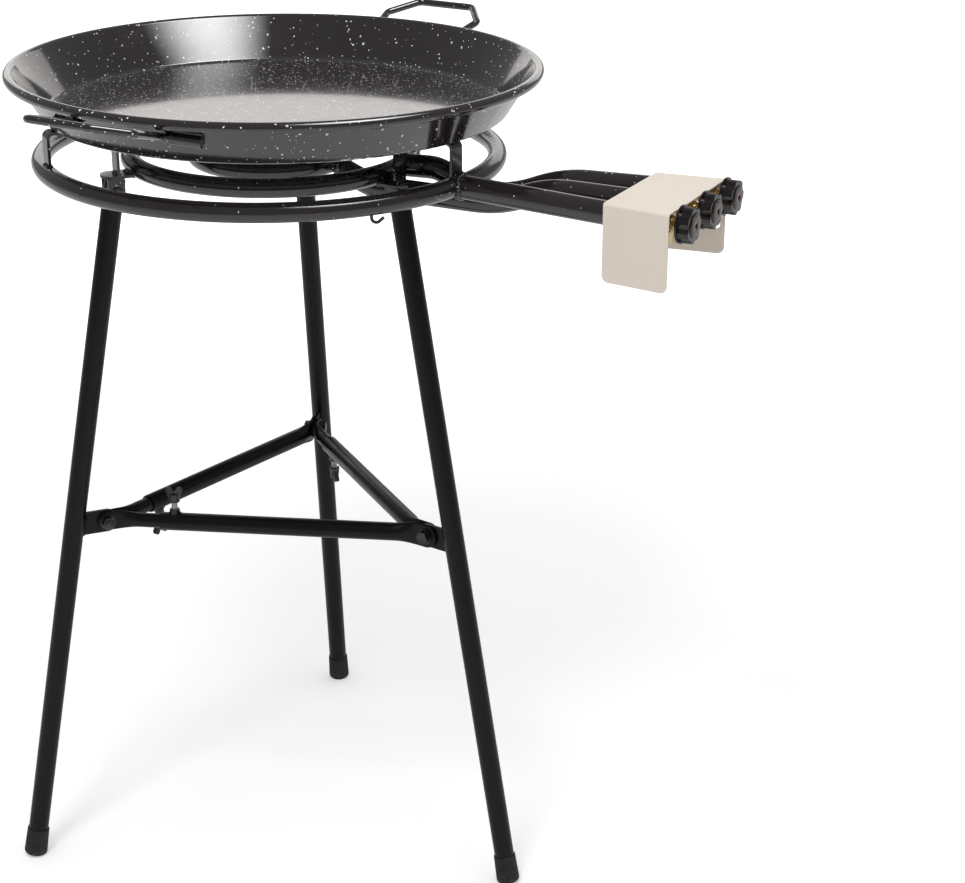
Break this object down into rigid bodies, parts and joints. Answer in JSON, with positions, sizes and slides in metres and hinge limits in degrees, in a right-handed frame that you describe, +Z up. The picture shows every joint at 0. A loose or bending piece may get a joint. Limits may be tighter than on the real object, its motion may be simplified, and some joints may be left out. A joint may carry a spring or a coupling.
{
  "type": "paella gas burner stand with pan",
  "caption": "Round shallow pan on a three-ring gas burner with fanned inlet tubes and valves, carried by a splayed tripod with telescoping braces.",
  "frame": {"origin": "on the floor under the centre of the burner rings", "axes": "+Z up, +X from the ring axis along the middle inlet tube towards the knobs, +Y to the left of +X"},
  "size_m": [0.784, 0.7154, 0.8932],
  "materials": {
    "enamel": "gloss black enamel with white speckles",
    "satin_black": "satin black paint",
    "brass": "turned brass",
    "steel": "zinc-plated steel",
    "rubber": "matt black rubber",
    "bakelite": "gloss black phenolic",
    "cream": "cream powder coat"
  },
  "bodies": {
    "burner": {"outer_ring": "enamel", "middle_ring": "enamel", "inner_ring": "enamel", "inlet_tube_outer": "enamel", "inlet_tube_inner": "enamel", "inlet_tube_middle": "enamel", "pan_support_1": "enamel", "pan_support_2": "enamel", "pan_support_3": "enamel", "leg_socket_1": "satin_black", "leg_socket_2": "satin_black", "leg_socket_3": "satin_black", "socket_bolts": "steel", "air_collars": "brass", "gas_jets": "brass", "valve_body_1": "brass", "valve_body_2": "brass", "valve_body_3": "brass", "gas_manifold": "brass", "hose_nipple": "brass", "heat_shield": "cream", "ring_hook": "satin_black"},
    "pan": {"pan": "enamel", "pan_handle_1": "enamel", "pan_handle_2": "enamel", "handle_clips_1": "enamel", "handle_clips_2": "enamel"},
    "leg_1": {"leg_1": "satin_black", "leg_tab_1": "satin_black", "foot_1": "rubber"},
    "leg_2": {"leg_2": "satin_black", "leg_tab_2": "satin_black", "foot_2": "rubber"},
    "leg_3": {"leg_3": "satin_black", "leg_tab_3": "satin_black", "foot_3": "rubber"},
    "brace_corner_1": {"brace_bolt_1": "satin_black", "brace_sleeve_1": "satin_black", "brace_sleeve_3": "satin_black", "clamp_nut_1": "satin_black", "clamp_nut_3": "satin_black"},
    "brace_corner_2": {"brace_bolt_2": "satin_black", "brace_rod_1": "satin_black", "brace_sleeve_2": "satin_black", "clamp_nut_2": "satin_black"},
    "brace_corner_3": {"brace_bolt_3": "satin_black", "brace_rod_2": "satin_black", "brace_rod_3": "satin_black"},
    "wing_screw_1": {"wing_screw_1": "satin_black"},
    "wing_screw_2": {"wing_screw_2": "satin_black"},
    "wing_screw_3": {"wing_screw_3": "satin_black"},
    "knob_1": {"knob_1": "bakelite", "spindle_1": "brass"},
    "knob_2": {"knob_2": "bakelite", "spindle_2": "brass"},
    "knob_3": {"knob_3": "bakelite", "spindle_3": "brass"}
  },
  "joints": [
    {"name": "pan_lift", "type": "slide", "parent": "burner", "child": "pan", "axis": [0, 0, 1], "range_m": [0, 0.15]},
    {"name": "leg_1_splay", "type": "hinge", "parent": "burner", "child": "leg_1", "pos_m": [0.16998, -0.02845, 0.767], "axis": [-0.165, -0.9863, 0], "range_deg": [-1.4, 5]},
    {"name": "leg_2_splay", "type": "hinge", "parent": "burner", "child": "leg_2", "pos_m": [-0.06036, 0.16143, 0.767], "axis": [0.9367, 0.3502, 0], "range_deg": [-1.4, 5]},
    {"name": "leg_3_splay", "type": "hinge", "parent": "burner", "child": "leg_3", "pos_m": [-0.10963, -0.13299, 0.767], "axis": [-0.7716, 0.6361, 0], "range_deg": [-1.4, 5]},
    {"name": "brace_corner_1_turn", "type": "hinge", "parent": "leg_1", "child": "brace_corner_1", "pos_m": [0.20288, -0.03395, 0.4], "axis": [-0.165, -0.9863, 0], "range_deg": [-5, 1.4]},
    {"name": "brace_corner_2_turn", "type": "hinge", "parent": "leg_2", "child": "brace_corner_2", "pos_m": [-0.07204, 0.19268, 0.4], "axis": [0.9367, 0.3502, 0], "range_deg": [-5, 1.4]},
    {"name": "brace_corner_3_turn", "type": "hinge", "parent": "leg_3", "child": "brace_corner_3", "pos_m": [-0.13084, -0.15873, 0.4], "axis": [-0.7716, 0.6361, 0], "range_deg": [-5, 1.4]},
    {"name": "wing_screw_1_turn", "type": "hinge", "parent": "brace_corner_1", "child": "wing_screw_1", "pos_m": [-0.01656, 0.1405, 0.4], "axis": [0, 0, -1], "range_deg": [0, 360]},
    {"name": "wing_screw_2_turn", "type": "hinge", "parent": "brace_corner_2", "child": "wing_screw_2", "pos_m": [-0.1134, -0.08459, 0.4], "axis": [0, 0, -1], "range_deg": [0, 360]},
    {"name": "wing_screw_3_turn", "type": "hinge", "parent": "brace_corner_1", "child": "wing_screw_3", "pos_m": [-0.0614, -0.12746, 0.4], "axis": [0, 0, 1], "range_deg": [0, 360]},
    {"name": "knob_1_turn", "type": "hinge", "parent": "burner", "child": "knob_1", "pos_m": [0.491, -0.05789, 0.79], "axis": [1, 0, 0], "range_deg": [0, 200]},
    {"name": "knob_2_turn", "type": "hinge", "parent": "burner", "child": "knob_2", "pos_m": [0.491, 0, 0.79], "axis": [1, 0, 0], "range_deg": [0, 200]},
    {"name": "knob_3_turn", "type": "hinge", "parent": "burner", "child": "knob_3", "pos_m": [0.491, 0.05789, 0.79], "axis": [1, 0, 0], "range_deg": [0, 200]}
  ],
  "couplings": [
    {"joint": "leg_2_splay", "follows": "leg_1_splay", "ratio": 1},
    {"joint": "leg_3_splay", "follows": "leg_1_splay", "ratio": 1},
    {"joint": "brace_corner_1_turn", "follows": "leg_1_splay", "ratio": -1},
    {"joint": "brace_corner_2_turn", "follows": "leg_1_splay", "ratio": -1},
    {"joint": "brace_corner_3_turn", "follows": "leg_1_splay", "ratio": -1}
  ]
}
